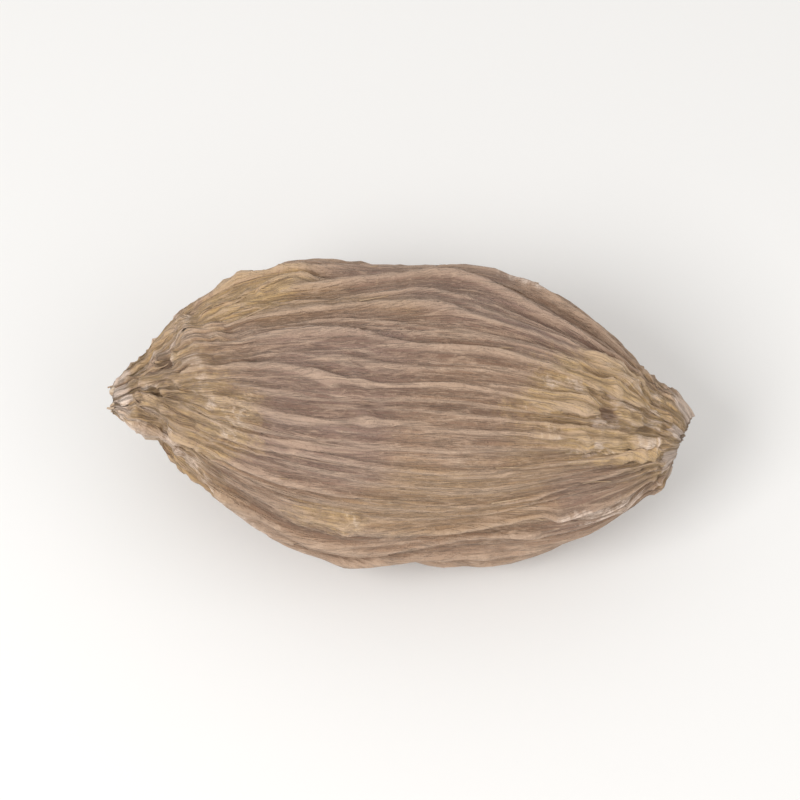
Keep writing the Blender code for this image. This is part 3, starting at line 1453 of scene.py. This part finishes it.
@dataclass
class BeakShreds:
    """The torn papery shreds round the rim of the beak, which are what is left of the flower."""

    husk: Husk
    count: int = 8
    steps: int = 7
    seed: int = 3
    scatter: float = 0.35
    root_along: float = 0.006
    root_depth: float = 0.10 * MM
    length: float = 0.34 * MM
    lengths: Span = (0.45, 1.0)
    flare: float = 0.12 * MM
    flares: Span = (-0.8, 1.0)
    sideways: float = 0.35
    half_width: float = 0.30 * MM
    half_widths: Span = (0.6, 1.1)
    half_thickness: float = 0.035 * MM
    narrowing: float = 0.75

    def build(self, material: Material) -> Piece:
        """Builds the shreds.

        Args:
            material: their material.

        Returns:
            The piece.
        """
        draw = np.random.default_rng(self.seed)
        strands = Strands()
        outward = np.array([-1.0, 0.0, 0.0])
        for index in range(self.count):
            rib = (index + draw.uniform(-self.scatter, self.scatter)) * self.husk.form.ribs / self.count
            root, normal = self.husk.at(rib, self.root_along)
            share = np.linspace(0, 1, self.steps)[:, None]
            reach = self.length * draw.uniform(*self.lengths)
            flare = self.flare * draw.uniform(*self.flares)
            flat = normal * (0, 1, 1)
            flat /= np.linalg.norm(flat)
            turn = np.array([0.0, -flat[2], flat[1]]) * draw.uniform(-self.sideways, self.sideways) * reach
            path = root - flat * self.root_depth + share * reach * outward
            path = path + share**2 * (flat * flare + turn)
            taper = (1 - self.narrowing * share[:, 0] ** 1.5) * draw.uniform(*self.half_widths)
            facing = np.repeat(flat[None], self.steps, axis=0)
            strands.add(Strand(path, facing, self.half_width * taper, self.half_thickness))
        return strands.build("beak_shreds", material)


@dataclass
class PeelingFibres:
    """Fibres that have come away from the crests of the ribs, by up to the most of peels in millimetres."""

    husk: Husk
    count: int = 34
    steps: int = 9
    seed: int = 5
    scatter: float = 0.12
    drift: float = 0.15
    starts: Span = (0.06, 0.90)
    reaches: Span = (0.03, 0.10)
    last_place: float = 0.97
    root_gap: float = 0.02 * MM
    peels: Span = (0.04, 0.30)
    half_width: float = 0.035 * MM
    half_widths: Span = (0.6, 1.3)
    half_thickness: float = 0.025 * MM
    tip_share: float = 0.35

    def build(self, material: Material) -> Piece:
        """Builds the fibres.

        Args:
            material: their material.

        Returns:
            The piece.
        """
        draw = np.random.default_rng(self.seed)
        strands = Strands()
        for _ in range(self.count):
            rib = draw.integers(self.husk.form.ribs) + draw.uniform(-self.scatter, self.scatter)
            start = draw.uniform(*self.starts)
            reach = draw.uniform(*self.reaches)
            peel = draw.uniform(*self.peels) * MM
            drift = draw.uniform(-self.drift, self.drift)
            path, facing = [], []
            for share in np.linspace(0, 1, self.steps):
                along = min(start + reach * share, self.last_place)
                point, normal = self.husk.at(rib + drift * share, along)
                path.append(point + normal * (self.root_gap + peel * share**2))
                facing.append(normal)
            taper = np.linspace(1.0, self.tip_share, self.steps) * draw.uniform(*self.half_widths)
            widths = self.half_width * taper
            strands.add(Strand(np.array(path), np.array(facing), widths, self.half_thickness))
        return strands.build("peeling_fibres", material)


@dataclass
class Studio:
    """The pale floor, the soft lights and the camera. Azimuth 0 is in front of the pod, 90 on its right."""

    centre: Vector
    azimuth: float = 0.0
    elevation: float = 65.0
    lens: float = 120.0
    fill: float = 0.72
    floor_side: float = 3000 * MM
    floor_colour: Colour = (0.88, 0.875, 0.865, 1)
    sky_colour: Colour = (1.0, 0.985, 0.965, 1)
    sky_strength: float = 0.68
    light_distance: float = 130 * MM

    def build(self) -> None:
        """Builds the whole studio."""
        self.floor()
        self.sky()
        self.light("key", azimuth=-50, elevation=52, size=60 * MM, power=0.082)
        self.light("fill", azimuth=65, elevation=38, size=110 * MM, power=0.035)
        self.camera()

    def floor(self) -> None:
        """The plain pale floor."""
        half = self.floor_side / 2
        low = POD_LOW[2]
        corners = [(-half, -half, low), (half, -half, low), (half, half, low), (-half, half, low)]
        mesh = bpy.data.meshes.new("floor")
        mesh.from_pydata(corners, [], [(0, 1, 2, 3)])
        material, nodes = bare_material("floor")
        shader = nodes.add("BsdfPrincipled", {"Base Color": self.floor_colour, "Roughness": 0.9})
        nodes.add("OutputMaterial", {"Surface": shader.outputs["BSDF"]})
        mesh.materials.append(material)
        floor = bpy.data.objects.new("floor", mesh)
        bpy.context.scene.collection.objects.link(floor)

    def sky(self) -> None:
        """Pale light from all round."""
        world = bpy.data.worlds.new("studio")
        world.use_nodes = True
        background = world.node_tree.nodes["Background"]
        background.inputs["Color"].default_value = self.sky_colour
        background.inputs["Strength"].default_value = self.sky_strength
        bpy.context.scene.world = world

    def light(self, name: str, azimuth: float, elevation: float, size: float, power: float) -> None:
        """A square area light that faces the pod.

        Args:
            name: its name.
            azimuth: degrees round the pod.
            elevation: degrees above the floor.
            size: side of the square.
            power: watts.
        """
        data = bpy.data.lights.new(name, "AREA")
        data.size = size
        data.energy = power
        self.aimed(name, data, azimuth, elevation, self.light_distance)

    def camera(self) -> None:
        """The camera, far enough away for the pod to fill its share of the frame's width."""
        data = bpy.data.cameras.new("camera")
        data.lens = self.lens
        data.clip_start = 1 * MM
        distance = (POD_HIGH[0] - POD_LOW[0]) / self.fill * self.lens / data.sensor_width
        bpy.context.scene.camera = self.aimed("camera", data, self.azimuth, self.elevation, distance)

    def aimed(
        self, name: str, data: bpy.types.ID, azimuth: float, elevation: float, distance: float
    ) -> bpy.types.Object:
        """A light or a camera in the scene that faces the pod.

        Args:
            name: its name.
            data: what it holds.
            azimuth: degrees round the pod.
            elevation: degrees above the floor.
            distance: how far it stands from the pod's middle.

        Returns:
            The light or the camera.
        """
        turn, rise = math.radians(azimuth), math.radians(elevation)
        towards = Vector((math.sin(turn) * math.cos(rise), -math.cos(turn) * math.cos(rise), math.sin(rise)))
        thing = bpy.data.objects.new(name, data)
        thing.location = self.centre + towards * distance
        thing.rotation_euler = towards.to_track_quat("Z", "Y").to_euler()
        bpy.context.scene.collection.objects.link(thing)
        return thing


def report(piece: Piece) -> None:
    """Reports one finished piece."""
    LOG.info("%s: %d points, %d faces", piece.name, len(piece.data.vertices), len(piece.data.polygons))


def main() -> None:
    bpy.context.scene.view_settings.view_transform = "Standard"
    groups = Groups(dry_streaks_group(), crinkle_group())
    husk = Husk(PodForm(), HUSK)
    report(husk.build(groups))
    report(BeakShreds(husk).build(PAPER.material(groups)))
    report(PeelingFibres(husk).build(FIBRE.material(groups)))
    Studio(Vector((POD_LOW + POD_HIGH) / 2)).build()


if __name__ == "__main__":
    logging.basicConfig(level=logging.INFO, format="%(name)s: %(message)s")
    main()
